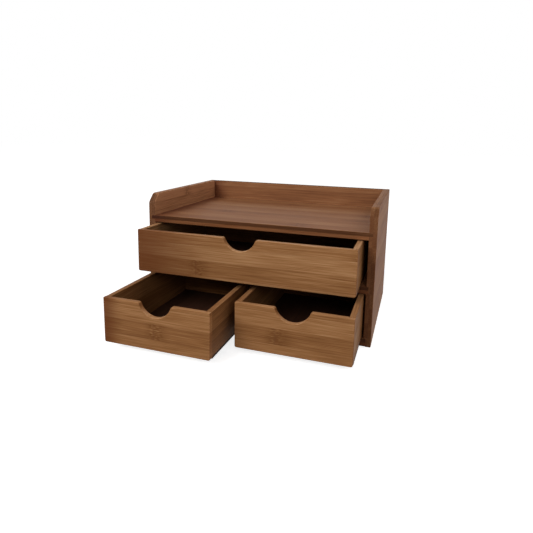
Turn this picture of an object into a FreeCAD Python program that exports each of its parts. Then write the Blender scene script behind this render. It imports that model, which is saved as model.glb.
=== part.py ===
"""Desktop mini drawers in carbonised bamboo: a tray-topped cabinet with one wide and two small drawers.

Frame: X to the right, Y to the back, Z up. The origin is the centre of the cabinet's underside.
The drawers stand part open. Lengths are millimetres.
"""

import FreeCAD
import Part
import Sketcher
import os

# Driving sizes: name, value, what it is
SIZES = (
    ("cabinet_width", "325", "over the outer faces of the side panels"),
    ("cabinet_depth", "218", "front edge to rear edge of the side panels"),
    ("gallery_height", "31", "rim of the top tray above its floor"),
    ("upper_bay_height", "60", "clear height of the wide drawer's bay"),
    ("lower_bay_height", "60", "clear height of the two small bays"),
    ("side_thickness", "10", "side panel board"),
    ("tray_thickness", "10", "tray board"),
    ("shelf_thickness", "10", "middle shelf board"),
    ("bottom_thickness", "11", "bottom board"),
    ("divider_thickness", "10", "upright between the small bays"),
    ("back_thickness", "8", "back panel board"),
    ("corner_cut", "12", "flat cut across the top front corner of each side panel"),
    ("cabinet_arris", "1", "rounding of the cabinet's worked edges"),
    ("tray_tongue", "5", "thickness of the tongue at each end of the tray board"),
    ("tray_tongue_drop", "0.5", "shoulder between the tray's floor and its tongues"),
    ("tray_housing", "5", "depth that the tray board's tongues are let into the side panels"),
    ("shelf_housing", "3", "depth that the shelf is let into each side panel"),
    ("bottom_housing", "3", "depth that the bottom board is let into each side panel"),
    ("divider_housing", "3", "depth that the divider is let into shelf and bottom board"),
    ("back_rebate", "5", "width of the rebate that holds each end of the back panel"),
    ("front_thickness", "7", "drawer front board"),
    ("drawer_side_thickness", "7", "drawer side board"),
    ("drawer_back_thickness", "7", "drawer back board"),
    ("drawer_bottom_thickness", "3", "thin board under the sides and back"),
    ("front_arris", "1.2", "rounding round the face of a drawer front"),
    ("rim_arris", "0.8", "easing of the drawer's other top edges"),
    ("notch_radius", "22.5", "finger notch"),
    ("notch_depth", "16.8", "lowest point of the notch below the front's top edge"),
    ("notch_corner", "3", "rounding where the notch meets the top edge"),
    ("front_corner", "2.5", "rounding of a drawer front's two lower corners"),
    ("corner_tongue", "3", "thickness of the tongue at each end of a drawer side"),
    ("corner_groove_depth", "3.5", "upright groove in a front or back that holds a side's tongue"),
    ("glue_room", "0.3", "between the end of a tongue and the floor of its groove"),
    ("drawer_lift", "0.3", "running gap under a drawer"),
    ("closed_gap", "1", "between a closed drawer and the back panel"),
    ("top_drawer_left_gap", "1.5", "running gap at the left of the wide drawer"),
    ("top_drawer_right_gap", "7", "running gap at the right of the wide drawer"),
    ("top_drawer_head_gap", "1.7", "above the wide drawer"),
    ("top_drawer_opening", "48", "how far the wide drawer stands open"),
    ("left_drawer_left_gap", "1.5", "running gap at the left of the left drawer"),
    ("left_drawer_right_gap", "2", "running gap at the right of the left drawer"),
    ("left_drawer_head_gap", "1.7", "above the left drawer"),
    ("left_drawer_opening", "126", "how far the left drawer stands open"),
    ("right_drawer_left_gap", "1", "running gap at the left of the right drawer"),
    ("right_drawer_right_gap", "2.5", "running gap at the right of the right drawer"),
    ("right_drawer_head_gap", "1.7", "above the right drawer"),
    ("right_drawer_opening", "83", "how far the right drawer stands open"),
)

# How near an edge has to lie to a face of its piece to count as on it
NEAR = 1e-4

# Heights above the underside, and widths, that several pieces share
LOWER_FLOOR = "Sizes.bottom_thickness"
SHELF_UNDERSIDE = f"({LOWER_FLOOR} + Sizes.lower_bay_height)"
UPPER_FLOOR = f"({SHELF_UNDERSIDE} + Sizes.shelf_thickness)"
TRAY_UNDERSIDE = f"({UPPER_FLOOR} + Sizes.upper_bay_height)"
TRAY_FLOOR = f"({TRAY_UNDERSIDE} + Sizes.tray_thickness)"
CABINET_HEIGHT = f"({TRAY_FLOOR} + Sizes.gallery_height)"
FRONT = "(-Sizes.cabinet_depth / 2)"
BOARD_DEPTH = "(Sizes.cabinet_depth - Sizes.back_thickness)"
INNER_WIDTH = "(Sizes.cabinet_width - 2 * Sizes.side_thickness)"
SMALL_BAY_WIDTH = f"(({INNER_WIDTH} - Sizes.divider_thickness) / 2)"
DRAWER_LENGTH = f"({BOARD_DEPTH} - Sizes.closed_gap)"
DRAWER_SIDE_LENGTH = f"({DRAWER_LENGTH} - Sizes.front_thickness - Sizes.drawer_back_thickness)"
TRAY_TONGUE_UNDERSIDE = f"({TRAY_FLOOR} - Sizes.tray_tongue_drop - Sizes.tray_tongue)"
CORNER_TONGUE_LENGTH = "(Sizes.corner_groove_depth - Sizes.glue_room)"

doc = FreeCAD.newDocument("desktop_mini_drawers")


def make_sheet():
    """The sheet of driving sizes, one named cell for each."""
    sheet = doc.addObject("Spreadsheet::Sheet", "Sizes")
    for row, (alias, value, meaning) in enumerate(SIZES, start=1):
        sheet.set(f"A{row}", alias)
        sheet.set(f"B{row}", value)
        sheet.setAlias(f"B{row}", alias)
        sheet.set(f"C{row}", meaning)
    doc.recompute()


def new_body(label, across, back, up):
    """An empty piece whose own corner stands at the given place."""
    body = doc.addObject("PartDesign::Body", label)
    body.Label = label
    for axis, place in (("x", across), ("y", back), ("z", up)):
        body.setExpression(f"Placement.Base.{axis}", place)
    return body


def sketch_on(body, role, offset=None):
    """A sketch on one of the piece's own planes, or parallel to it at a distance along its normal."""
    sketch = body.newObject("Sketcher::SketchObject", f"{body.Name}_sketch")
    plane = next(p for p in body.Origin.OriginFeatures if p.Role == role)
    sketch.AttachmentSupport = [(plane, "")]
    sketch.MapMode = "FlatFace"
    if offset is not None:
        sketch.setExpression("AttachmentOffset.Base.z", offset)
    return sketch


def measure(sketch, kind, *ends, size):
    """A dimension of the sketch, tied to the sheet."""
    index = sketch.addConstraint(Sketcher.Constraint(kind, *ends, 1))
    sketch.setExpression(f"Constraints[{index}]", size)


def rectangle(sketch, width, height, left=None, low=None):
    """A rectangle with its lower left corner on the sketch's axes, or off them by left and low."""
    corners = [FreeCAD.Vector(x, y, 0) for x, y in ((0, 0), (1, 0), (1, 1), (0, 1))]
    first = sketch.GeometryCount
    for start, end in zip(corners, corners[1:] + corners[:1]):
        sketch.addGeometry(Part.LineSegment(start, end))
    bottom, right, top, side = range(first, first + len(corners))
    for line, following in ((bottom, right), (right, top), (top, side), (side, bottom)):
        sketch.addConstraint(Sketcher.Constraint("Coincident", line, 2, following, 1))
    for line in (bottom, top):
        sketch.addConstraint(Sketcher.Constraint("Horizontal", line))
    for line in (right, side):
        sketch.addConstraint(Sketcher.Constraint("Vertical", line))
    measure(sketch, "DistanceX", bottom, 1, bottom, 2, size=width)
    measure(sketch, "DistanceY", right, 1, right, 2, size=height)
    if left is None:
        sketch.addConstraint(Sketcher.Constraint("PointOnObject", bottom, 1, -2))
    else:
        measure(sketch, "DistanceX", -1, 1, bottom, 1, size=left)
    if low is None:
        sketch.addConstraint(Sketcher.Constraint("PointOnObject", bottom, 1, -1))
    else:
        measure(sketch, "DistanceY", -1, 1, bottom, 1, size=low)


def circle(sketch, across, up, radius):
    """A circle with its centre off the sketch's axes by across and up."""
    index = sketch.addGeometry(Part.Circle(FreeCAD.Vector(1, 1, 0), FreeCAD.Vector(0, 0, 1), 1))
    measure(sketch, "DistanceX", -1, 1, index, 3, size=across)
    measure(sketch, "DistanceY", -1, 1, index, 3, size=up)
    measure(sketch, "Radius", index, size=radius)


def pad(body, sketch, length, reverse=False):
    """Thickness given to a sketch, along its normal or against it."""
    feature = body.newObject("PartDesign::Pad", f"{body.Name}_board")
    feature.Profile = sketch
    feature.setExpression("Length", length)
    feature.Reversed = reverse
    doc.recompute()
    return feature


def pocket(body, sketch, depth=None, reverse=False):
    """A cut in the shape of a sketch, right through where no depth is given."""
    before = body.Tip.Shape.Volume
    feature = body.newObject("PartDesign::Pocket", f"{body.Name}_cut")
    feature.Profile = sketch
    if depth is None:
        feature.Type = "ThroughAll"
        feature.Midplane = True
    else:
        feature.setExpression("Length", depth)
        feature.Reversed = reverse
    doc.recompute()
    if not feature.Shape.Volume < before:
        raise RuntimeError(f"{feature.Name} cuts nothing")
    return feature


def on_end(edge, box, axis, end):
    """Whether an edge lies wholly on one end of the piece's box, such as X Min."""
    place = getattr(box, f"{axis}{end}")
    return all(abs(getattr(edge.BoundBox, f"{axis}{side}") - place) < NEAR for side in ("Min", "Max"))


def at_an_end(edge, box, axis):
    """Whether an edge lies wholly on either end of the piece's box along an axis."""
    return on_end(edge, box, axis, "Min") or on_end(edge, box, axis, "Max")


def ease(body, radius, chosen, kind="Fillet"):
    """Rounds, or cuts, the edges of the piece for which chosen(edge, box) holds."""
    base = body.Tip
    box = base.Shape.BoundBox
    names = [f"Edge{n}" for n, edge in enumerate(base.Shape.Edges, start=1) if chosen(edge, box)]
    feature = body.newObject(f"PartDesign::{kind}", f"{body.Name}_{kind.lower()}")
    feature.Base = (base, names)
    feature.setExpression("Radius" if kind == "Fillet" else "Size", radius)
    doc.recompute()
    return feature


def side_panel(label, across, outer, inner):
    """A side panel: cut top front corner, eased edges, housings for the boards, rebate for the back.

    Its outer face is at its own X zero, and outer and inner are the ends, Min or Max, of its X extent.
    """
    left_hand = outer == "Min"
    inner_face = "Sizes.side_thickness" if left_hand else "-Sizes.side_thickness"
    body = new_body(label, across, FRONT, "0")
    outline = sketch_on(body, "YZ_Plane")
    rectangle(outline, "Sizes.cabinet_depth", CABINET_HEIGHT)
    pad(body, outline, "Sizes.side_thickness", reverse=not left_hand)

    def top_front(edge, box):
        return on_end(edge, box, "Y", "Min") and on_end(edge, box, "Z", "Max")

    def worked(edge, box):
        if on_end(edge, box, "X", outer):
            return True
        meets_wall = on_end(edge, box, "Y", "Max") or on_end(edge, box, "Z", "Min")
        return on_end(edge, box, "X", inner) and not meets_wall

    ease(body, "Sizes.corner_cut", top_front, kind="Chamfer")
    ease(body, "Sizes.cabinet_arris", worked)

    housings = (
        ("Sizes.tray_housing", "Sizes.tray_tongue", TRAY_TONGUE_UNDERSIDE),
        ("Sizes.shelf_housing", "Sizes.shelf_thickness", SHELF_UNDERSIDE),
        ("Sizes.bottom_housing", "Sizes.bottom_thickness", None),
    )
    for depth, thickness, low in housings:
        housing = sketch_on(body, "YZ_Plane", offset=inner_face)
        rectangle(housing, BOARD_DEPTH, thickness, low=low)
        pocket(body, housing, depth, reverse=not left_hand)
    rebate = sketch_on(body, "YZ_Plane", offset=inner_face)
    rectangle(rebate, "Sizes.back_thickness", CABINET_HEIGHT, left=BOARD_DEPTH)
    pocket(body, rebate, "Sizes.back_rebate", reverse=not left_hand)
    return body


def carcass_board(label, width, thickness, low):
    """A board of the given width across the cabinet, with its two front edges eased."""
    body = new_body(label, f"-{width} / 2", FRONT, low)
    outline = sketch_on(body, "XY_Plane")
    rectangle(outline, width, BOARD_DEPTH)
    pad(body, outline, thickness)

    def front_edge(edge, box):
        return on_end(edge, box, "Y", "Min") and not at_an_end(edge, box, "X")

    ease(body, "Sizes.cabinet_arris", front_edge)
    return body


def tray_board():
    """The tray's floor: shouldered ends between the side panels, and a tongue let into each panel."""
    body = carcass_board("tray_board", INNER_WIDTH, "Sizes.tray_thickness", TRAY_UNDERSIDE)
    tongue_low = "Sizes.tray_thickness - Sizes.tray_tongue_drop - Sizes.tray_tongue"
    for left in ("-Sizes.tray_housing", INNER_WIDTH):
        tongue = sketch_on(body, "XY_Plane", offset=tongue_low)
        rectangle(tongue, "Sizes.tray_housing", BOARD_DEPTH, left=left)
        pad(body, tongue, "Sizes.tray_tongue")
    return body


def divider_groove(body, width, thickness=None):
    """The groove that holds the divider: in the underside, or in the top where a thickness is given."""
    groove = sketch_on(body, "XY_Plane", offset=thickness)
    left = f"(({width} - Sizes.divider_thickness) / 2)"
    rectangle(groove, "Sizes.divider_thickness", BOARD_DEPTH, left=left)
    pocket(body, groove, "Sizes.divider_housing", reverse=thickness is None)


def back_panel():
    """The back: let into the rebates of the side panels, level with their tops."""
    width = f"({INNER_WIDTH} + 2 * Sizes.back_rebate)"
    body = new_body("back_panel", f"-{width} / 2", f"{FRONT} + {BOARD_DEPTH}", "0")
    outline = sketch_on(body, "XZ_Plane")
    rectangle(outline, width, CABINET_HEIGHT)
    pad(body, outline, "Sizes.back_thickness", reverse=True)

    def top_edge(edge, box):
        return on_end(edge, box, "Z", "Max") and not at_an_end(edge, box, "X")

    ease(body, "Sizes.cabinet_arris", top_edge)
    return body


def centre_divider():
    """The upright between the small bays, let into the shelf above and the board below."""
    low = f"{LOWER_FLOOR} - Sizes.divider_housing"
    body = new_body("centre_divider", "-Sizes.divider_thickness / 2", FRONT, low)
    outline = sketch_on(body, "YZ_Plane")
    rectangle(outline, BOARD_DEPTH, "Sizes.lower_bay_height + 2 * Sizes.divider_housing")
    pad(body, outline, "Sizes.divider_thickness")

    def front_edge(edge, box):
        return on_end(edge, box, "Y", "Min") and not at_an_end(edge, box, "Z")

    ease(body, "Sizes.cabinet_arris", front_edge)
    return body


def cabinet():
    """The fixed pieces."""
    shelf_width = f"({INNER_WIDTH} + 2 * Sizes.shelf_housing)"
    shelf = carcass_board("middle_shelf", shelf_width, "Sizes.shelf_thickness", SHELF_UNDERSIDE)
    divider_groove(shelf, shelf_width)
    bottom_width = f"({INNER_WIDTH} + 2 * Sizes.bottom_housing)"
    bottom = carcass_board("bottom_board", bottom_width, "Sizes.bottom_thickness", "0")
    divider_groove(bottom, bottom_width, "Sizes.bottom_thickness")
    return [
        side_panel("left_side_panel", "-Sizes.cabinet_width / 2", "Min", "Max"),
        side_panel("right_side_panel", "Sizes.cabinet_width / 2", "Max", "Min"),
        tray_board(),
        shelf,
        bottom,
        back_panel(),
        centre_divider(),
    ]


class Drawer:
    """One drawer: a notched front and a back, tongued to two sides between them, over a thin bottom."""

    def __init__(self, name, bay_left, bay_width, bay_height, floor):
        """Places the drawer in its bay, part open, clear of the bay by its named gaps."""
        self.name = name
        self.left = f"({bay_left} + Sizes.{name}_left_gap)"
        self.width = f"({bay_width} - Sizes.{name}_left_gap - Sizes.{name}_right_gap)"
        self.front = f"({FRONT} - Sizes.{name}_opening)"
        self.low = f"({floor} + Sizes.drawer_lift)"
        self.height = f"({bay_height} - Sizes.drawer_lift - Sizes.{name}_head_gap)"
        self.side_low = f"({self.low} + Sizes.drawer_bottom_thickness)"
        self.side_height = f"({self.height} - Sizes.drawer_bottom_thickness)"
        self.side_front = f"({self.front} + Sizes.front_thickness)"

    def corner_grooves(self, body, face=None, low=None):
        """The two upright grooves of a front or back, in its face at that offset, open at the top."""
        from_end = "Sizes.drawer_side_thickness - Sizes.corner_tongue"
        grooves = sketch_on(body, "XZ_Plane", offset=face)
        for left in (from_end, f"{self.width} - Sizes.drawer_side_thickness"):
            rectangle(grooves, "Sizes.corner_tongue", self.side_height, left=left, low=low)
        pocket(body, grooves, "Sizes.corner_groove_depth", reverse=face is not None)

    def front_board(self):
        """The front: half-round finger notch, rounded lower corners, eased edges, grooves behind."""
        body = new_body(f"{self.name}_front", self.left, self.front, self.low)
        outline = sketch_on(body, "XZ_Plane")
        rectangle(outline, self.width, self.height)
        pad(body, outline, "Sizes.front_thickness", reverse=True)
        notch = sketch_on(body, "XZ_Plane")
        notch_centre = f"{self.height} - Sizes.notch_depth + Sizes.notch_radius"
        circle(notch, f"{self.width} / 2", notch_centre, "Sizes.notch_radius")
        pocket(body, notch)

        def shoulder(edge, box):
            through = edge.BoundBox.YLength > box.YLength / 2
            return on_end(edge, box, "Z", "Max") and through and not at_an_end(edge, box, "X")

        def lower_corner(edge, box):
            return on_end(edge, box, "Z", "Min") and at_an_end(edge, box, "X")

        def face_edge(edge, box):
            return on_end(edge, box, "Y", "Min")

        def rim_edge(edge, box):
            above = edge.BoundBox.ZMin > box.Center.z
            return on_end(edge, box, "Y", "Max") and above

        ease(body, "Sizes.notch_corner", shoulder)
        ease(body, "Sizes.front_corner", lower_corner)
        ease(body, "Sizes.front_arris", face_edge)
        ease(body, "Sizes.rim_arris", rim_edge, kind="Chamfer")
        self.corner_grooves(body, face="-Sizes.front_thickness", low="Sizes.drawer_bottom_thickness")
        return body

    def back_board(self):
        """The back: as wide as the front, grooves in its inner face."""
        back = f"{self.front} + {DRAWER_LENGTH} - Sizes.drawer_back_thickness"
        body = new_body(f"{self.name}_back", self.left, back, self.side_low)
        outline = sketch_on(body, "XZ_Plane")
        rectangle(outline, self.width, self.side_height)
        pad(body, outline, "Sizes.drawer_back_thickness", reverse=True)

        def rim_edge(edge, box):
            return on_end(edge, box, "Z", "Max") and not at_an_end(edge, box, "X")

        ease(body, "Sizes.rim_arris", rim_edge)
        self.corner_grooves(body)
        return body

    def side_board(self, hand, across, tongue_left):
        """A side: top edges eased, and at each end a tongue along its inner face."""
        body = new_body(f"{self.name}_{hand}_side", across, self.side_front, self.side_low)
        outline = sketch_on(body, "XY_Plane")
        rectangle(outline, "Sizes.drawer_side_thickness", DRAWER_SIDE_LENGTH)
        pad(body, outline, self.side_height)

        def rim_edge(edge, box):
            return on_end(edge, box, "Z", "Max") and not at_an_end(edge, box, "Y")

        ease(body, "Sizes.rim_arris", rim_edge)
        tongues = sketch_on(body, "XY_Plane")
        for start in (f"-{CORNER_TONGUE_LENGTH}", DRAWER_SIDE_LENGTH):
            rectangle(tongues, "Sizes.corner_tongue", CORNER_TONGUE_LENGTH, left=tongue_left, low=start)
        pad(body, tongues, self.side_height)
        return body

    def bottom_board(self):
        """The thin bottom: under the sides and back, behind the front."""
        body = new_body(f"{self.name}_bottom", self.left, self.side_front, self.low)
        outline = sketch_on(body, "XY_Plane")
        rectangle(outline, self.width, f"{DRAWER_LENGTH} - Sizes.front_thickness")
        pad(body, outline, "Sizes.drawer_bottom_thickness")
        return body

    def pieces(self):
        """Every piece of the drawer."""
        right = f"{self.left} + {self.width} - Sizes.drawer_side_thickness"
        return [
            self.front_board(),
            self.side_board("left", self.left, "Sizes.drawer_side_thickness - Sizes.corner_tongue"),
            self.side_board("right", right, None),
            self.back_board(),
            self.bottom_board(),
        ]


def check(pieces):
    """Stops unless every feature was made and every piece is a sound solid."""
    for item in doc.Objects:
        if "Invalid" in item.State or "Error" in item.State:
            raise RuntimeError(f"{item.Name} failed: {item.State}")
    for piece in pieces:
        if piece.Shape.isNull() or not piece.Shape.isValid() or not piece.Shape.Solids:
            raise RuntimeError(f"{piece.Label} is not a sound solid")


def main():
    """Builds the cabinet and its drawers and writes each piece."""
    make_sheet()
    inner_left = f"(-{INNER_WIDTH} / 2)"
    divider_right = "(Sizes.divider_thickness / 2)"
    drawers = (
        Drawer("top_drawer", inner_left, INNER_WIDTH, "Sizes.upper_bay_height", UPPER_FLOOR),
        Drawer("left_drawer", inner_left, SMALL_BAY_WIDTH, "Sizes.lower_bay_height", LOWER_FLOOR),
        Drawer("right_drawer", divider_right, SMALL_BAY_WIDTH, "Sizes.lower_bay_height", LOWER_FLOOR),
    )
    pieces = cabinet()
    for drawer in drawers:
        pieces += drawer.pieces()
    doc.recompute()
    check(pieces)
    os.makedirs("parts", exist_ok=True)
    for piece in pieces:
        piece.Shape.exportStep(f"parts/{piece.Label}.step")
        print(piece.Label, len(piece.Shape.Solids), round(piece.Shape.Volume))


main()
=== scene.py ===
"""Desktop mini drawers in carbonised bamboo: the boards as the eye sees them.

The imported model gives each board's place and size. Cabinet and Drawer model those boards again with soft
arrises and open joints, BambooShader dresses each in its FlatPressedBamboo finish, and Studio sets the
floor, lamps and camera. X runs to the right, Y to the back and Z up. Lengths are metres, and a name that
ends in _mm is millimetres.
"""

import logging
import math
from collections.abc import Callable, Iterable
from dataclasses import dataclass, replace
from enum import Enum
from functools import partial

import bmesh
import bpy
from bmesh.types import BMEdge, BMesh, BMVert
from bpy.types import Material, Node, NodeSocket, NodeTree, Object
from mathutils import Euler, Matrix, Vector


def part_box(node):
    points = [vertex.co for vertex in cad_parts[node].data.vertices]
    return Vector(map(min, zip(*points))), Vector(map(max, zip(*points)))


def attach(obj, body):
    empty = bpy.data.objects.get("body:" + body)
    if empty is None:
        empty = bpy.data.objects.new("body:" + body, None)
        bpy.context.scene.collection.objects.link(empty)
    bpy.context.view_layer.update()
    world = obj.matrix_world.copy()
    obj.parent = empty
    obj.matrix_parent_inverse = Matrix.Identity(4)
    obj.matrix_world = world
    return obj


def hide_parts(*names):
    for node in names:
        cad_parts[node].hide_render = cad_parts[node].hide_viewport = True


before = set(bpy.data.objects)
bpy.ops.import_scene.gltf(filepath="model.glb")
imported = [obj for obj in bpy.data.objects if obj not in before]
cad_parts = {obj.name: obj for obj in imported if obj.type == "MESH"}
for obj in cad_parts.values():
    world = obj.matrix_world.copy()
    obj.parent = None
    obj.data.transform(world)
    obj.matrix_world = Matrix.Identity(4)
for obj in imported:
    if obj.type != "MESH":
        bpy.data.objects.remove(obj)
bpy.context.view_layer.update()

log = logging.getLogger("mini_drawers")

MM = 0.001
# Two places closer than this are the same
NEAR = 1e-6
WIDTH, DEPTH, HEIGHT = range(3)
# Edges that turn further than a facet of a rounding are shaded sharp
SHARP_ANGLE = math.radians(60.0)
# How far a cutting block stands out of the faces that it opens
KNIFE_SPARE = 2 * MM
WHITE = "#FFFFFF"

# Each strip's and each ply's tone steps on by an odd share, so that neighbours differ and none repeats soon
GOLDEN_SHARE = 0.618
PLY_TONE_SHARE = 0.43
# How far the patterns of the grain jump from strip to strip, in sizes of their own, and their octaves
PATTERN_JUMP = 17.0
PATTERN_DETAIL = 2.0
# How far each pattern moves the colour between dark and light
STRIP_TONE_SPREAD = 0.36
PATCH_SPREAD = 0.55
STREAK_SPREAD = 0.36
FIBRE_SPREAD = 1.3
HALO_SPREAD = 0.2
MOTTLE_SPREAD = 2.0
# How much of the colour below a knuckle's line or the darkened low end hides
LINE_STRENGTH = 0.7
LOW_END_DARKENING_STRENGTH = 0.75
# How far a knuckle strays along the grain, and how far on the next strip's lies, as a share of their spacing
KNUCKLE_WOBBLE_MM = 3.0
STAGGER_SHARE = 0.382
# Where a knuckle's dark line, mottled fibres and browner halo rise and fall again along the grain
LINE_STOPS_MM = (-1.6, -0.2, 0.2, 1.8)
RING_STOPS_MM = (-9.0, -2.0, 6.0, 14.0)
HALO_STOPS_MM = (-16.0, -1.0, 6.0, 26.0)
# How large a normal's part along an axis is where a face starts to look that way, and where it does in full
FACING_STOPS = (0.45, 0.8)
# Where the dark of a fibre bundle starts and ends to fade, in bundles from its middle
PORE_STOPS = (0.15, 0.55)
# The fibres' lows and highs, and how they move the lacquer's roughness
FIBRE_STOPS = (0.2, 0.8)
GLOSS_SWING = (-0.05, 0.07)
# How low the glue and the knuckles lie beside the height of the fibres, which is one
GLUE_RELIEF = 1.2
KNUCKLE_RELIEF = 0.8
BUMP_STRENGTH = 0.25
BUMP_HEIGHT = 0.12 * MM
LACQUER_IOR = 1.5

EdgeTest = Callable[[BMEdge], bool]
Feed = Node | NodeSocket | float | tuple | Vector | Euler
Pair = tuple[float, float]
Place = tuple[float, float, float]


def linear(code: str) -> tuple[float, float, float, float]:
    """Turns an sRGB hex colour into the linear colour that a shader takes, by the curve of the standard.

    Args:
        code: Six hex digits after a hash mark.

    Returns:
        Red, green, blue and an alpha of one.
    """
    shares = [int(code[start : start + 2], 16) / 255 for start in (1, 3, 5)]
    # A straight toe for the darkest shares, and a power for the others
    curve = [s / 12.92 if s <= 0.04045 else ((s + 0.055) / 1.055) ** 2.4 for s in shares]
    return (*curve, 1.0)


def add_node(tree: NodeTree, kind: str, feeds: dict[int | str, Feed], **settings: object) -> Node:
    """Adds a shader node with its settings and links.

    Args:
        tree: The material's or world's node tree.
        kind: The node's type name without its ShaderNode prefix.
        feeds: For each input, by name or number, a node whose first output feeds it, a socket, or a value.
        **settings: The node's own properties.

    Returns:
        The new node.
    """
    node = tree.nodes.new(f"ShaderNode{kind}")
    for name, value in settings.items():
        setattr(node, name, value)
    for name, feed in feeds.items():
        if isinstance(feed, Node):
            tree.links.new(feed.outputs[0], node.inputs[name])
        elif isinstance(feed, NodeSocket):
            tree.links.new(feed, node.inputs[name])
        else:
            node.inputs[name].default_value = feed
    return node


class Grain(Enum):
    """The axis that a board's fibres run along."""

    ACROSS_THE_FRONT = WIDTH
    FRONT_TO_BACK = DEPTH


class ShowSide(Enum):
    """The end of a board's thickness that is seen most, from which its plies are counted."""

    LOW = 1
    HIGH = -1


class Hand(Enum):
    """The side that an upright board stands on; its value points from there to the middle."""

    LEFT = 1
    RIGHT = -1

    @property
    def side(self) -> str:
        """Names this side, as the frame's nodes do."""
        return f"{self.name.lower()}_side"

    def faces(self, low: Vector, high: Vector) -> Pair:
        """Gives the places of a board's outer and inner face."""
        return (low.x, high.x) if self is Hand.LEFT else (high.x, low.x)


@dataclass(frozen=True)
class Stock:
    """How one board is cut from the glued-up sheet.

    The first glue line and the first knuckle are measured from the board's low edge and low end. The board is
    darker towards its low end, over a given length from there, and lightness says how far the whole board is from
    the usual tone, which on some boards paints light and on others shade.
    """

    grain: Grain
    show: ShowSide = ShowSide.LOW
    glue_at_mm: float = 4.0
    knuckle_at_mm: float = 70.0
    tone: float = 0.3
    plies: int = 1
    stain_mm: float = 0.0
    lightness: float = 0.0


ACROSS = partial(Stock, Grain.ACROSS_THE_FRONT)
LENGTHWISE = partial(Stock, Grain.FRONT_TO_BACK)


@dataclass(frozen=True)
class FlatPressedBamboo:
    """Carbonised bamboo board, flat-pressed from strips and lacquered satin.

    Steaming browns the strips unevenly, so the eye sees bands about 20 mm wide that differ a little in
    tone, hair-fine fibres along them, now and then a darker knuckle across one, and edges and end grain
    that have drunk more colour than the faces.
    """

    name: str
    dark: str
    middle: str
    light: str
    glue: str
    knuckle: str
    stain: str
    end_grain: str
    # How much darker an edge is than a face; above one, on the drawers' rims, it paints a highlight and sheen
    edge_tone_and_highlight: float
    end_shade: float
    roughness: float
    gloss: float
    pore_strength: float
    glue_strength: float = 0.25
    strip_mm: float = 20.0
    # Longer than one internode of the cane, because few of the strips show a knuckle
    knuckle_spacing_mm: float = 900.0
    # Each pattern's size along and across the grain. Real fibres are 0.2 mm thick: drawn as coarse as the
    # picture can show
    fibres_mm: Pair = (45.0, 0.9)
    streaks_mm: Pair = (240.0, 2.2)
    patches_mm: Pair = (70.0, 13.0)
    mottles_mm: Pair = (5.0, 1.1)
    pore_mm: float = 0.9
    glue_line_mm: float = 0.35
    # How much green and blue an edge or an end shows beside its red; where the edges are lightened, this greys them
    # as painted sheen
    edge_hue_and_sheen: Pair = (0.92, 0.86)
    end_hue: Pair = (0.92, 0.86)


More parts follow.
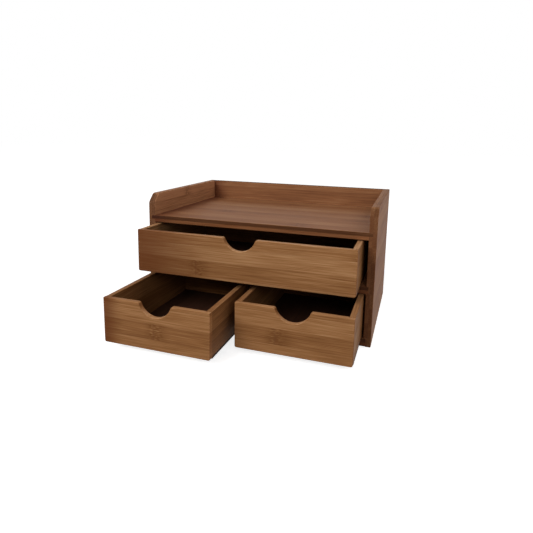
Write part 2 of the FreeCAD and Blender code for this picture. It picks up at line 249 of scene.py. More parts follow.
class BambooShader:
    """Draws one board's material, in millimetres along, across and through the board."""

    def __init__(self, finish: FlatPressedBamboo, node: str, stock: Stock) -> None:
        """Starts the material, and lays out its strips, plies, grain, knuckles and glue lines.

        Args:
            finish: The bamboo's colours and sizes.
            node: The node of the frame that the board stands for.
            stock: How the board is cut from its sheet.
        """
        self.finish = finish
        self.stock = stock
        self.low, self.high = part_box(node)
        size = self.high - self.low
        thin = min(range(3), key=lambda axis: size[axis])
        wide = next(axis for axis in range(3) if axis not in (stock.grain.value, thin))
        # Along the grain, across it, and through the thickness
        self.axes = (stock.grain.value, wide, thin)
        self.material = bpy.data.materials.new(f"{finish.name}.{node}")
        self.material.use_nodes = True
        self.material.node_tree.nodes.clear()
        self.add = partial(add_node, self.material.node_tree)
        coordinates = self.add("TexCoord", {})
        self.normal = coordinates.outputs["Normal"]
        self.place = self.lay_out(coordinates.outputs["Object"])
        self.along, self.across, through = self.add("SeparateXYZ", {0: self.place}).outputs

        # Kept half a ply inside the faces, so that rounding never counts one ply too many
        self.ply_mm = size[thin] / MM / stock.plies
        deepest_mm = self.ply_mm * (stock.plies - 0.5)
        self.inside = self.add("Clamp", {0: through, 1: self.ply_mm / 2, 2: deepest_mm})

        # Which strip of which ply a point lies in, and that strip's tone between dark and light
        strips = self.add("Math", {0: self.across, 1: finish.strip_mm}, operation="DIVIDE")
        self.strip = self.add("Math", {0: strips}, operation="FLOOR")
        plies = self.add("Math", {0: self.inside, 1: self.ply_mm}, operation="DIVIDE")
        self.ply = self.add("Math", {0: plies}, operation="FLOOR")
        turns = self.add("Math", {0: self.strip, 1: GOLDEN_SHARE, 2: stock.tone}, operation="MULTIPLY_ADD")
        turns = self.add("Math", {0: self.ply, 1: PLY_TONE_SHARE, 2: turns}, operation="MULTIPLY_ADD")
        self.tone = self.add("Math", {0: turns}, operation="FRACT")

        # Fibres, streaks and patches, all drawn out along the grain and different in each strip
        jump = self.add("CombineXYZ", {0: turns, 1: turns, 2: self.tone})
        self.jump = self.add("VectorMath", {0: jump, "Scale": PATTERN_JUMP}, operation="SCALE")
        self.fibres = self.drawn_noise(finish.fibres_mm)
        self.streaks = self.drawn_noise(finish.streaks_mm)
        self.patches = self.drawn_noise(finish.patches_mm)
        self.mottles = self.drawn_noise(finish.mottles_mm)
        self.line, self.halo, self.mottling = self.knuckles()
        self.glue = self.glue_lines()

    def lay_out(self, point: NodeSocket) -> Node:
        """Turns a point of the object into millimetres along, across and through the board.

        Args:
            point: The point in object coordinates.

        Returns:
            The Mapping node.
        """
        rows = [Vector(1.0 if axis == column else 0.0 for column in range(3)) for axis in self.axes]
        rows[2] *= self.stock.show.value
        turn = Matrix(rows)
        start = self.low.copy()
        if self.stock.show is ShowSide.HIGH:
            start[self.axes[2]] = self.high[self.axes[2]]
        shift = -(turn @ start) / MM
        shift -= Vector((self.stock.knuckle_at_mm, self.stock.glue_at_mm, 0.0))
        scale = Vector((1 / MM, 1 / MM, 1 / MM))
        # A rotation can't mirror, so where the axes call for it, a negative scale does
        if turn.determinant() < 0:
            turn = Matrix((rows[0], rows[1], -rows[2]))
            scale[self.axes[2]] = -scale[self.axes[2]]
        feeds = {"Vector": point, "Location": shift, "Rotation": turn.to_euler(), "Scale": scale}
        return self.add("Mapping", feeds, vector_type="POINT")

    def drawn_noise(self, size_mm: Pair) -> Node:
        """Adds a noise drawn out along the grain, another in each strip.

        Args:
            size_mm: The pattern's size along and across the grain.

        Returns:
            The noise node.
        """
        length_mm, width_mm = size_mm
        scale = (1 / length_mm, 1 / width_mm, 1 / width_mm)
        moved = self.add("VectorMath", {0: self.place, 1: scale, 2: self.jump}, operation="MULTIPLY_ADD")
        return self.add("TexNoise", {"Vector": moved, "Scale": 1.0, "Detail": PATTERN_DETAIL})

    def band(self, distance: Node, stops: tuple[float, float, float, float]) -> Node:
        """Adds a mask that rises between the first two stops of a distance and falls between the last two.

        Args:
            distance: The distance in millimetres.
            stops: The four distances.

        Returns:
            The mask.
        """
        rising = {0: distance, 1: stops[0], 2: stops[1], 3: 0.0, 4: 1.0}
        falling = {0: distance, 1: stops[2], 2: stops[3], 3: 1.0, 4: 0.0}
        sides = [self.add("MapRange", side, interpolation_type="SMOOTHSTEP") for side in (rising, falling)]
        return self.add("Math", {0: sides[0], 1: sides[1]}, operation="MULTIPLY")

    def facing(self, axis: int) -> Node:
        """Measures how squarely a face looks along an axis.

        Args:
            axis: The axis.

        Returns:
            The measure, from zero to one.
        """
        part = self.add("SeparateXYZ", {0: self.normal}).outputs[axis]
        size = self.add("Math", {0: part}, operation="ABSOLUTE")
        feeds = {0: size, 1: FACING_STOPS[0], 2: FACING_STOPS[1], 3: 0.0, 4: 1.0}
        return self.add("MapRange", feeds, interpolation_type="SMOOTHSTEP")

    def knuckles(self) -> tuple[Node, Node, Node]:
        """Sets a knuckle across each strip at every spacing.

        Returns:
            Its dark line, the browner halo round it, and the mottling of the fibres beside it.
        """
        spacing_mm = self.finish.knuckle_spacing_mm
        wobble = self.add("Math", {0: self.mottles, 1: KNUCKLE_WOBBLE_MM, 2: self.along}, operation="MULTIPLY_ADD")
        step = {0: self.strip, 1: spacing_mm * STAGGER_SHARE, 2: wobble}
        staggered = self.add("Math", step, operation="MULTIPLY_ADD")
        beside = self.add("Math", {0: staggered, 1: spacing_mm / 2, 2: -spacing_mm / 2}, operation="WRAP")
        line, ring, halo = (self.band(beside, stops) for stops in (LINE_STOPS_MM, RING_STOPS_MM, HALO_STOPS_MM))
        line = self.add("Math", {0: line, 1: self.streaks}, operation="MULTIPLY")
        swing = self.add("Math", {0: self.mottles, 1: 0.5}, operation="SUBTRACT")
        mottling = self.add("Math", {0: swing, 1: ring}, operation="MULTIPLY")
        return line, halo, mottling

    def glue_lines(self) -> Node:
        """Marks the glue between neighbouring strips and, inside the board, between its plies.

        Returns:
            The mask.
        """
        line_mm = self.finish.glue_line_mm
        from_strip = self.add("Math", {0: self.across, 1: self.finish.strip_mm / 2}, operation="PINGPONG")
        from_ply = self.add("Math", {0: self.inside, 1: self.ply_mm / 2}, operation="PINGPONG")
        from_glue = self.add("Math", {0: from_strip, 1: from_ply}, operation="MINIMUM")
        return self.add("MapRange", {0: from_glue, 1: line_mm / 2, 2: line_mm, 3: 1.0, 4: 0.0})

    def grain_colour(self) -> NodeSocket:
        """Colours the bare bamboo between its dark and its light, from the strip's tone and the patterns.

        Returns:
            The colour.
        """
        usual = 0.5 - STRIP_TONE_SPREAD / 2 + self.stock.lightness
        tint = self.add("Math", {0: self.tone, 1: STRIP_TONE_SPREAD, 2: usual}, operation="MULTIPLY_ADD")
        patterns = ((self.patches, PATCH_SPREAD), (self.streaks, STREAK_SPREAD), (self.fibres, FIBRE_SPREAD))
        swings = [(self.add("Math", {0: noise, 1: 0.5}, operation="SUBTRACT"), spread) for noise, spread in patterns]
        for swing, spread in (*swings, (self.halo, -HALO_SPREAD), (self.mottling, MOTTLE_SPREAD)):
            tint = self.add("Math", {0: swing, 1: spread, 2: tint}, operation="MULTIPLY_ADD")
        ramp = self.add("ValToRGB", {0: tint})
        ramp.color_ramp.elements.new(0.5)
        tones = (self.finish.dark, self.finish.middle, self.finish.light)
        for stop, code in zip(ramp.color_ramp.elements, tones):
            stop.color = linear(code)
        return ramp.outputs[0]

    def marked(self, colour: NodeSocket) -> NodeSocket:
        """Lays the knuckles' lines, the glue lines and the darkening of the low end over a colour.

        Args:
            colour: The colour of the bare bamboo.

        Returns:
            The colour of the faces.
        """
        finish = self.finish
        layers = [(self.line, LINE_STRENGTH, finish.knuckle), (self.glue, finish.glue_strength, finish.glue)]
        if self.stock.stain_mm > 0:
            start = -self.stock.knuckle_at_mm
            reach = {0: self.along, 1: start, 2: self.stock.stain_mm + start, 3: 1.0, 4: 0.0}
            stain = self.add("MapRange", reach, interpolation_type="SMOOTHSTEP")
            layers.append((stain, LOW_END_DARKENING_STRENGTH, finish.stain))
        for mask, strength, code in layers:
            share = self.add("Math", {0: mask, 1: strength}, operation="MULTIPLY")
            colour = self.add("Mix", {0: share, 6: colour, 7: linear(code)}, data_type="RGBA").outputs[2]
        return colour

    def shaded(self, colour: NodeSocket) -> NodeSocket:
        """Tones the cut edges ply by ply, darker on most boards and lighter on the drawers' rims as a painted
        highlight and sheen, and gives the end grain its rows of dark fibre bundles.

        Args:
            colour: The colour of the faces.

        Returns:
            The colour all round.
        """
        finish = self.finish
        facing_end, facing_edge = self.facing(self.axes[0]), self.facing(self.axes[1])
        other_ply = self.add("Math", {0: self.ply, 1: 2.0}, operation="MODULO")
        odd_ply_edge = self.add("Math", {0: facing_edge, 1: other_ply}, operation="MULTIPLY")
        even_ply_edge = self.add("Math", {0: facing_edge, 1: odd_ply_edge}, operation="SUBTRACT")
        shades = (
            (facing_end, finish.end_shade, finish.end_hue),
            (even_ply_edge, finish.edge_tone_and_highlight, finish.edge_hue_and_sheen),
            (odd_ply_edge, (1.0 + finish.edge_tone_and_highlight) / 2, finish.edge_hue_and_sheen),
        )
        for mask, shade, (green, blue) in shades:
            feeds = {0: mask, 6: colour, 7: (shade, shade * green, shade * blue, 1.0)}
            colour = self.add("Mix", feeds, data_type="RGBA", blend_type="MULTIPLY").outputs[2]
        bundle_size = (0.0, 1 / finish.pore_mm, 1 / finish.pore_mm)
        bundle_place = self.add("VectorMath", {0: self.place, 1: bundle_size}, operation="MULTIPLY")
        bundles = self.add("TexVoronoi", {"Vector": bundle_place, "Scale": 1.0})
        feeds = {0: bundles, 1: PORE_STOPS[0], 2: PORE_STOPS[1], 3: finish.pore_strength, 4: 0.0}
        dots = self.add("MapRange", feeds)
        dots = self.add("Math", {0: dots, 1: facing_end}, operation="MULTIPLY")
        return self.add("Mix", {0: dots, 6: colour, 7: linear(finish.end_grain)}, data_type="RGBA").outputs[2]

    def lacquer(self, colour: NodeSocket) -> None:
        """Coats the board: satin lacquer over fibres that stand a hair proud, and glue lines a hair low.

        Args:
            colour: The colour all round.
        """
        smooth, rough = (self.finish.roughness + swing for swing in GLOSS_SWING)
        gloss = self.add("MapRange", {0: self.fibres, 1: FIBRE_STOPS[0], 2: FIBRE_STOPS[1], 3: smooth, 4: rough})
        relief = self.fibres
        for mask, depth in ((self.glue, GLUE_RELIEF), (self.line, KNUCKLE_RELIEF)):
            relief = self.add("Math", {0: mask, 1: -depth, 2: relief}, operation="MULTIPLY_ADD")
        bump = self.add("Bump", {"Strength": BUMP_STRENGTH, "Distance": BUMP_HEIGHT, "Height": relief})
        feeds = {"Base Color": colour, "Roughness": gloss, "Normal": bump, "IOR": LACQUER_IOR}
        surface = self.add("BsdfPrincipled", {**feeds, "Specular IOR Level": self.finish.gloss})
        self.add("OutputMaterial", {"Surface": surface})

    def draw(self) -> Material:
        """Draws every layer, from the bare bamboo to the lacquer.

        Returns:
            The board's material.
        """
        colour = self.marked(self.grain_colour())
        self.lacquer(self.shaded(colour))
        return self.material


class Outline:
    """A closed outline drawn by a pen that moves straight or swings round a centre.

    It lies in the plane of two axes, at a place along the third.
    """

    def __init__(self, right: int, up: int, start: Pair, place: float) -> None:
        """Puts the pen down.

        Args:
            right: The axis that counts as rightwards.
            up: The axis that counts as upwards.
            start: The first point, rightwards and upwards.
            place: The outline's place along the remaining axis.
        """
        self.right = right
        self.up = up
        self.normal = 3 - right - up
        self.flat = place
        self.mesh = bmesh.new()
        self.pen = self.mesh.verts.new(self.point(start))

    def point(self, spot: Pair) -> Vector:
        """Turns a spot of the outline into a point in space."""
        places = {self.right: spot[0], self.up: spot[1], self.normal: self.flat}
        return Vector(places[axis] for axis in range(3))

    def lines(self, spots: Iterable[Pair]) -> None:
        """Draws straight lines from spot to spot.

        Args:
            spots: The spots, rightwards and upwards.
        """
        for spot in spots:
            drawn = bmesh.ops.extrude_vert_indiv(self.mesh, verts=[self.pen])
            self.pen = drawn["verts"][0]
            self.pen.co = self.point(spot)

    def arc(self, centre: Pair, turn: float, steps: int) -> None:
        """Swings the pen round a centre.

        Args:
            centre: The centre, rightwards and upwards.
            turn: The angle in radians, counter-clockwise where it is positive.
            steps: How many straight pieces the arc has.
        """
        across = self.point((1.0, 0.0)) - self.point((0.0, 0.0))
        upward = self.point((0.0, 1.0)) - self.point((0.0, 0.0))
        axis = across.cross(upward)
        spun = bmesh.ops.spin(
            self.mesh, geom=[self.pen], cent=self.point(centre), axis=axis, angle=turn, steps=steps, use_merge=False
        )
        self.pen = next(item for item in spun["geom_last"] if isinstance(item, BMVert))

    def raise_board(self, thickness: float) -> BMesh:
        """Closes the outline and gives it a thickness along the remaining axis.

        Args:
            thickness: The thickness.

        Returns:
            The board's mesh, its faces pointing outwards.
        """
        bmesh.ops.remove_doubles(self.mesh, verts=self.mesh.verts, dist=NEAR)
        bmesh.ops.contextual_create(self.mesh, geom=self.mesh.edges)
        raised = bmesh.ops.extrude_face_region(self.mesh, geom=self.mesh.faces)
        top = [item for item in raised["geom"] if isinstance(item, BMVert)]
        lift = Vector()
        lift[self.normal] = thickness
        bmesh.ops.translate(self.mesh, verts=top, vec=lift)
        bmesh.ops.recalc_face_normals(self.mesh, faces=self.mesh.faces)
        return self.mesh


def block(low: Vector, high: Vector) -> BMesh:
    """Makes a square-edged board between two corners.

    Args:
        low: The lowest corner.
        high: The highest corner.

    Returns:
        The board's mesh.
    """
    mesh = bmesh.new()
    bmesh.ops.create_cube(mesh, size=1.0)
    bmesh.ops.scale(mesh, vec=high - low, verts=mesh.verts)
    bmesh.ops.translate(mesh, vec=(low + high) / 2, verts=mesh.verts)
    return mesh


def edges_on(*lines: dict[int, float]) -> EdgeTest:
    """Makes a test for the edges that lie on any of some faces or lines.

    Args:
        *lines: The faces or lines, each as its place along every axis that it crosses at one place only.

    Returns:
        The test.
    """

    def lies_on(edge: BMEdge, axis: int, place: float) -> bool:
        """Tells whether an edge lies wholly at a place along an axis."""
        return all(abs(corner.co[axis] - place) < NEAR for corner in edge.verts)

    return lambda edge: any(all(lies_on(edge, axis, place) for axis, place in line.items()) for line in lines)


def edges_between(node: str, face: dict[int, float], across: int) -> EdgeTest:
    """Makes a test for the two edges where a face of a board, given by its place, ends along an axis."""
    return edges_on(*({**face, across: corner[across]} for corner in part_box(node)))


def ease(mesh: BMesh, chosen: EdgeTest, width: float, segments: int) -> None:
    """Rounds a board's edges.

    Args:
        mesh: The board.
        chosen: Tells which edges are rounded.
        width: How far the rounding reaches from the edge.
        segments: How many facets it has.
    """
    bmesh.ops.bevel(
        mesh,
        geom=[edge for edge in mesh.edges if chosen(edge)],
        offset=width,
        offset_type="OFFSET",
        segments=segments,
        profile=0.5,
        affect="EDGES",
        material=-1,
    )


def mesh_object(name: str, mesh: BMesh) -> Object:
    """Hands a finished mesh to a new object at the origin.

    Args:
        name: The object's name.
        mesh: The mesh, which is freed.

    Returns:
        The object, linked to the scene.
    """
    data = bpy.data.meshes.new(name)
    mesh.to_mesh(data)
    mesh.free()
    piece = bpy.data.objects.new(name, data)
    bpy.context.scene.collection.objects.link(piece)
    return piece


def carve(mesh: BMesh, cutters: Iterable[BMesh]) -> BMesh:
    """Cuts blocks out of a board.

    Args:
        mesh: The board, which is freed.
        cutters: The blocks to cut away, which are freed.

    Returns:
        The board's new mesh.
    """
    board = mesh_object("board_to_carve", mesh)
    knives = [mesh_object("knife", cutter) for cutter in cutters]
    for knife in knives:
        cut = board.modifiers.new("cut", "BOOLEAN")
        cut.operation = "DIFFERENCE"
        cut.solver = "EXACT"
        cut.object = knife
    graph = bpy.context.evaluated_depsgraph_get()
    carved = bmesh.new()
    carved.from_object(board, graph)
    for spent in (board, *knives):
        bpy.data.meshes.remove(spent.data)
    return carved


@dataclass
class Joinery:
    """A sub-assembly of boards: what all of them share, and how far their edges are rounded."""

    body: str
    slot: str
    finish: FlatPressedBamboo
    arris: float

    def finish_board(
        self,
        node: str,
        mesh: BMesh,
        stock: Stock,
        slot: str | None = None,
        finish: FlatPressedBamboo | None = None,
    ) -> Object:
        """Makes a board's object, dresses it and hands it to the frame.

        Args:
            node: The node of the frame that the board stands for.
            mesh: The board's mesh, which is freed.
            stock: How the board is cut from its sheet.
            slot: The material slot, where it isn't the sub-assembly's own; not used.
            finish: The finish, where it isn't the sub-assembly's own.

        Returns:
            The board.
        """
        board = mesh_object(f"{node}_board", mesh)
        board.data.shade_smooth()
        board.data.set_sharp_from_angle(angle=SHARP_ANGLE)
        weigh = board.modifiers.new("flat_faces_stay_flat", "WEIGHTED_NORMAL")
        weigh.keep_sharp = True
        board.data.materials.append(BambooShader(finish or self.finish, node, stock).draw())
        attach(board, self.body)
        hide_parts(node)
        return board


@dataclass
class Cabinet(Joinery):
    """The fixed boards: two side panels with cut corners, tray, shelf, bottom, divider and back."""

    stocks: dict[str, Stock]
    panel_finishes: dict[Hand, FlatPressedBamboo]
    corner_cut: float = 12 * MM
    corner_softening: float = 3 * MM
    tray_housing: float = 5 * MM
    tray_tongue: float = 5 * MM
    tray_tongue_drop: float = 0.5 * MM
    board_housing: float = 3 * MM
    divider_housing: float = 3 * MM
    arris_segments: int = 3

    def side_panel(self, hand: Hand) -> Object:
        """Makes a side panel, housed for the boards and rebated for the back.

        Args:
            hand: The side that the panel stands on.

        Returns:
            The panel.
        """
        node = f"{hand.side}_panel"
        low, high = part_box(node)
        outer, inner = hand.faces(low, high)
        cut_start, cut_end = high.z - self.corner_cut, low.y + self.corner_cut
        outline = Outline(DEPTH, HEIGHT, (low.y, low.z), low.x)
        outline.lines(((high.y, low.z), (high.y, high.z), (cut_end, high.z), (low.y, cut_start)))
        mesh = outline.raise_board(high.x - low.x)
        cut_corners = edges_on({HEIGHT: cut_start}, {DEPTH: cut_end, HEIGHT: high.z})
        ease(mesh, cut_corners, self.corner_softening, self.arris_segments)
        on_outer, on_inner = edges_on({WIDTH: outer}), edges_on({WIDTH: inner})
        hidden = edges_on({DEPTH: high.y}, {HEIGHT: low.z})

        def worked(edge: BMEdge) -> bool:
            """Every edge of the outer face, and of the inner face those in view."""
            return on_outer(edge) or (on_inner(edge) and not hidden(edge))

        ease(mesh, worked, self.arris, self.arris_segments)
        back_low, back_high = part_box("back_panel")
        tray_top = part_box("tray_board")[1].z - self.tray_tongue_drop
        housings = [(self.tray_housing, tray_top - self.tray_tongue, tray_top)]
        for housed in ("middle_shelf", "bottom_board"):
            housed_low, housed_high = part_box(housed)
            housings.append((self.board_housing, housed_low.z, housed_high.z))
        knives = [
            self.knife(inner, -hand.value * depth, (low.y, bottom), (back_low.y, top))
            for depth, bottom, top in housings
        ]
        rebate = hand.faces(back_low, back_high)[0] - inner
        knives.append(self.knife(inner, rebate, (back_low.y, low.z), (back_high.y, high.z)))
        return self.finish_board(node, carve(mesh, knives), self.stocks[node], finish=self.panel_finishes[hand])

    def knife(self, face: float, reach: float, low: Pair, high: Pair) -> BMesh:
        """Makes the block that cuts a housing or rebate, standing out where it opens a side of the panel.

        Args:
            face: The panel's inner face.
            reach: How far the cut goes in from it, signed.
            low: The cut's front and bottom.
            high: The cut's rear and top.

        Returns:
            The block's mesh.
        """
        panel_low, panel_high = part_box("left_side_panel")
        sides = sorted((face + reach, face - math.copysign(KNIFE_SPARE, reach)))
        start, end = Vector((sides[0], *low)), Vector((sides[1], *high))
        for axis in (DEPTH, HEIGHT):
            if start[axis] < panel_low[axis] + NEAR:
                start[axis] -= KNIFE_SPARE
            if end[axis] > panel_high[axis] - NEAR:
                end[axis] += KNIFE_SPARE
        return block(start, end)

    def tray(self) -> Object:
        """Makes the tray board: its section, tongues at both ends, run from front to back.

        Returns:
            The board.
        """
        low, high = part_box("tray_board")
        left, right = low.x + self.tray_housing, high.x - self.tray_housing
        tongue_top = high.z - self.tray_tongue_drop
        tongue_low = tongue_top - self.tray_tongue
        right_tongue = ((right, tongue_low), (high.x, tongue_low), (high.x, tongue_top), (right, tongue_top))
        left_tongue = ((left, tongue_top), (low.x, tongue_top), (low.x, tongue_low), (left, tongue_low))
        outline = Outline(WIDTH, HEIGHT, (left, low.z), low.y)
        outline.lines(((right, low.z), *right_tongue, (right, high.z), (left, high.z), *left_tongue))
        return self.front_eased("tray_board", outline)

    def grooved_board(self, node: str, groove_on_top: bool) -> Object:
        """Makes the shelf or the bottom board, grooved for the divider.

        Args:
            node: The board's node.
            groove_on_top: Whether the groove is in the top.

        Returns:
            The board.
        """
        low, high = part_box(node)
        divider_low, divider_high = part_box("centre_divider")
        face, other = (high.z, low.z) if groove_on_top else (low.z, high.z)
        floor = face + math.copysign(self.divider_housing, other - face)
        outline = Outline(WIDTH, HEIGHT, (low.x, face), low.y)
        groove = ((divider_low.x, face), (divider_low.x, floor), (divider_high.x, floor), (divider_high.x, face))
        outline.lines((*groove, (high.x, face), (high.x, other), (low.x, other)))
        return self.front_eased(node, outline)

    def front_eased(self, node: str, outline: Outline) -> Object:
        """Makes a level board from its section, the long edges of its front rounded.

        Args:
            node: The board's node.
            outline: The section, drawn at the board's front.

        Returns:
            The board.
        """
        low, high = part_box(node)
        mesh = outline.raise_board(high.y - low.y)
        ease(mesh, edges_between(node, {DEPTH: low.y}, HEIGHT), self.arris, self.arris_segments)
        return self.finish_board(node, mesh, self.stocks[node])

    def plain_board(self, node: str, seen: int, across: int) -> Object:
        """Makes the back panel or the divider, the long edges of its top or front rounded.

        Args:
            node: The board's node.
            seen: The axis that the rounded face looks along, HEIGHT for the top or DEPTH for the front.
            across: The axis of the board's thickness.

        Returns:
            The board.
        """
        low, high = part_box(node)
        mesh = block(low, high)
        face = {HEIGHT: high.z} if seen == HEIGHT else {DEPTH: low.y}
        ease(mesh, edges_between(node, face, across), self.arris, self.arris_segments)
        return self.finish_board(node, mesh, self.stocks[node])

    def build(self) -> list[Object]:
        """Makes every fixed board.

        Returns:
            The boards.
        """
        return [
            self.side_panel(Hand.LEFT),
            self.side_panel(Hand.RIGHT),
            self.tray(),
            self.grooved_board("middle_shelf", groove_on_top=False),
            self.grooved_board("bottom_board", groove_on_top=True),
            self.plain_board("back_panel", seen=HEIGHT, across=DEPTH),
            self.plain_board("centre_divider", seen=DEPTH, across=WIDTH),
        ]


@dataclass
class Drawer(Joinery):
    """One drawer: a notched front and a back tongued to two sides, over a thin bottom."""

    bottom_finish_painted_shade: FlatPressedBamboo
    front_stock: Stock
    tone: float
    # A lower side or back lightness paints shade: inside the drawer, in the gaps between drawers and on sides turned
    # from the light
    side_lightness: float = 0.0
    back_lightness: float = -0.3
    notch_radius: float = 22.5 * MM
    notch_depth: float = 16.8 * MM
    notch_corner: float = 3 * MM
    front_corner: float = 2.5 * MM
    rim_arris: float = 0.8 * MM
    tongue: float = 3 * MM
    groove_depth: float = 3.5 * MM
    notch_steps: int = 40
    shoulder_steps: int = 8
    face_segments: int = 4
    rim_segments: int = 2

    def front(self) -> Object:
        """Makes the front: half-round finger notch, rounded shoulders and corners, grooves behind.

        Returns:
            The front.
        """
        node = f"{self.body}_front"
        low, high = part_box(node)
        mesh = self.front_outline().raise_board(high.y - low.y)
        behind = edges_on({DEPTH: high.y})
        notch_floor = high.z - self.notch_depth

        def rim_edge(edge: BMEdge) -> bool:
            """An edge behind that runs along the top or round the notch."""
            one, other = (corner.co for corner in edge.verts)
            return behind(edge) and min(one.z, other.z) > notch_floor - NEAR and abs(one.x - other.x) > NEAR

        ease(mesh, edges_on({DEPTH: low.y}), self.arris, self.face_segments)
        ease(mesh, rim_edge, self.rim_arris, self.rim_segments)
        knives = self.groove_knives(node, face=high.y, into=-1)
        return self.finish_board(node, carve(mesh, knives), self.front_stock)

    def front_outline(self) -> Outline:
        """Draws the front seen from ahead, from its lower left corner round to the notch and back.

        Returns:
            The outline, not yet closed.
        """
        low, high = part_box(f"{self.body}_front")
        quarter = math.pi / 2
        corner = self.front_corner
        middle = (low.x + high.x) / 2
        centre_above = self.notch_radius - self.notch_depth
        drop = centre_above + self.notch_corner
        reach = math.sqrt((self.notch_radius + self.notch_corner) ** 2 - drop**2)
        lean = math.atan2(drop, reach)
        shoulder_up = high.z - self.notch_corner
        outline = Outline(WIDTH, HEIGHT, (low.x + corner, low.z), low.y)
        outline.lines([(high.x - corner, low.z)])
        outline.arc((high.x - corner, low.z + corner), quarter, self.shoulder_steps)
        outline.lines([(high.x, high.z), (middle + reach, high.z)])
        outline.arc((middle + reach, shoulder_up), quarter - lean, self.shoulder_steps)
        outline.arc((middle, high.z + centre_above), 2 * lean - math.pi, self.notch_steps)
        outline.arc((middle - reach, shoulder_up), quarter - lean, self.shoulder_steps)
        outline.lines([(low.x, high.z), (low.x, low.z + corner)])
        outline.arc((low.x + corner, low.z + corner), quarter, self.shoulder_steps)
        return outline

    def groove_knives(self, node: str, face: float, into: int) -> list[BMesh]:
        """Makes the blocks that cut the two upright grooves of a front or back.

        Args:
            node: The board's node.
            face: The place of the face that the grooves are cut in.
            into: 1 where the cut goes towards +Y, -1 where it goes towards -Y.

        Returns:
            The two blocks.
        """
        low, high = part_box(node)
        side_low, side_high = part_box(f"{self.body}_{Hand.LEFT.side}")
        thickness = side_high.x - side_low.x
        front, rear = sorted((face + into * self.groove_depth, face - into * KNIFE_SPARE))
        bottom, top = max(side_low.z, low.z - KNIFE_SPARE), high.z + KNIFE_SPARE
        return [
            block(Vector((left, front, bottom)), Vector((left + self.tongue, rear, top)))
            for left in (low.x + thickness - self.tongue, high.x - thickness)
        ]

    def back(self) -> Object:
        """Makes the back, its top edges eased and its inner face grooved.

        Returns:
            The back.
        """
        node = f"{self.body}_back"
        low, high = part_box(node)
        mesh = block(low, high)
        ease(mesh, edges_between(node, {HEIGHT: high.z}, DEPTH), self.rim_arris, self.rim_segments)
        knives = self.groove_knives(node, face=low.y, into=1)
        # The back's lower lightness paints the shade inside the drawer
        stock = ACROSS(glue_at_mm=7.0, knuckle_at_mm=110.0, tone=self.tone, lightness=self.back_lightness)
        return self.finish_board(node, carve(mesh, knives), stock)

    def side(self, hand: Hand) -> Object:
        """Makes a side with a tongue along its inner face at each end.

        Args:
            hand: The side that the board stands on.

        Returns:
            The side.
        """
        node = f"{self.body}_{hand.side}"
        low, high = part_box(node)
        front_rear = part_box(f"{self.body}_front")[1].y
        back_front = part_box(f"{self.body}_back")[0].y
        outer, inner = hand.faces(low, high)
        tongue_face = inner - hand.value * self.tongue
        outline = Outline(WIDTH, DEPTH, (outer, front_rear), low.z)
        front_tongue = ((tongue_face, front_rear), (tongue_face, low.y), (inner, low.y))
        back_tongue = ((inner, high.y), (tongue_face, high.y), (tongue_face, back_front))
        outline.lines((*front_tongue, *back_tongue, (outer, back_front)))
        mesh = outline.raise_board(high.z - low.z)
        ease(mesh, edges_between(node, {HEIGHT: high.z}, WIDTH), self.rim_arris, self.rim_segments)
        # The board's own place sets its tone apart from the other side's
        tone = self.tone + low.x
        stock = LENGTHWISE(glue_at_mm=11.0, knuckle_at_mm=60.0, tone=tone, lightness=self.side_lightness)
        return self.finish_board(node, mesh, stock)

    def bottom(self) -> Object:
        """Makes the thin bottom, whose very dark finish paints the shade inside the drawer.

        Returns:
            The bottom.
        """
        node = f"{self.body}_bottom"
        stock = LENGTHWISE(ShowSide.HIGH, glue_at_mm=9.0, knuckle_at_mm=130.0, tone=self.tone)
        return self.finish_board(node, block(*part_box(node)), stock, "drawer_bottom", self.bottom_finish_painted_shade)

    def build(self) -> list[Object]:
        """Makes every board of the drawer."""
        return [self.front(), self.side(Hand.LEFT), self.side(Hand.RIGHT), self.back(), self.bottom()]


@dataclass(frozen=True)
class Lamp:
    """A soft rectangular lamp that looks at the middle of the drawers."""

    name: str
    place: Place
    width: float
    height: float
    power: float
    target: Place = (0.0, -0.05, 0.08)

    def hang(self) -> None:
        """Adds the lamp to the scene."""
        data = bpy.data.lights.new(self.name, "AREA")
        data.shape = "RECTANGLE"
        data.size = self.width
        data.size_y = self.height
        data.energy = self.power
        lamp = bpy.data.objects.new(self.name, data)
        lamp.location = self.place
        aim = Vector(self.target) - Vector(self.place)
        lamp.rotation_euler = aim.to_track_quat("-Z", "Y").to_euler()
        bpy.context.scene.collection.objects.link(lamp)


# One large softbox high on the left gives the light its direction, and the others fill its shadows
LAMPS = (
    Lamp("left_softbox", (-0.8, -1.6, 1.2), 1.0, 0.8, 26.2),
    Lamp("front_softbox", (0.1, -1.4, 1.0), 1.0, 0.8, 4.5),
    Lamp("camera_card", (0.42, -0.62, 0.3), 0.2, 0.2, 0.43),
    Lamp("right_softbox", (1.0, -1.6, 1.2), 1.0, 0.8, 3.5),
    Lamp("side_softbox", (0.75, 0.15, 0.88), 0.7, 0.6, 2.9),
    Lamp("rear_softbox", (-0.4, 1.3, 0.8), 0.8, 0.6, 1.1),
)


